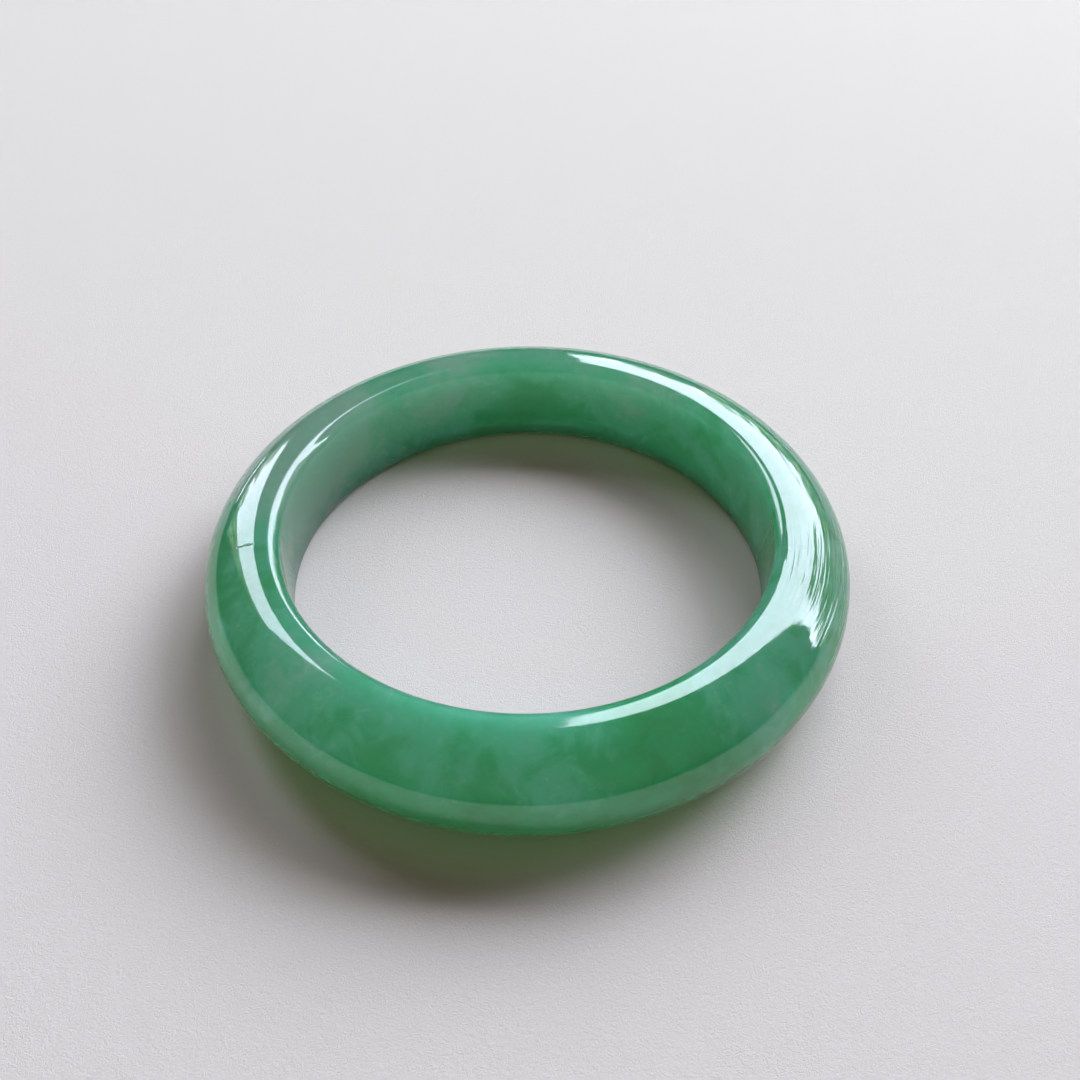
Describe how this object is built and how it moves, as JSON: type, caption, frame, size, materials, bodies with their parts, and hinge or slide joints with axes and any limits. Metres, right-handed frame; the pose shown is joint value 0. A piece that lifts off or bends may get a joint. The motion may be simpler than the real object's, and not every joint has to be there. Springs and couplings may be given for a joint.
{
  "type": "bangle bracelet",
  "caption": "Solid closed ring bangle of polished green stone, flat towards the wrist and domed outside, slipped on over the hand.",
  "frame": {"origin": "centre of the lower side face, on the ring's axis, in the plane the bangle rests on", "axes": "+Z along the ring's axis, up from the resting face; X and Y lie across the ring, which is the same all the way round"},
  "size_m": [0.0742, 0.0742, 0.0122],
  "materials": {
    "polished_jade": "polished"
  },
  "bodies": {
    "root": {"jade_ring": "polished_jade"}
  },
  "joints": []
}
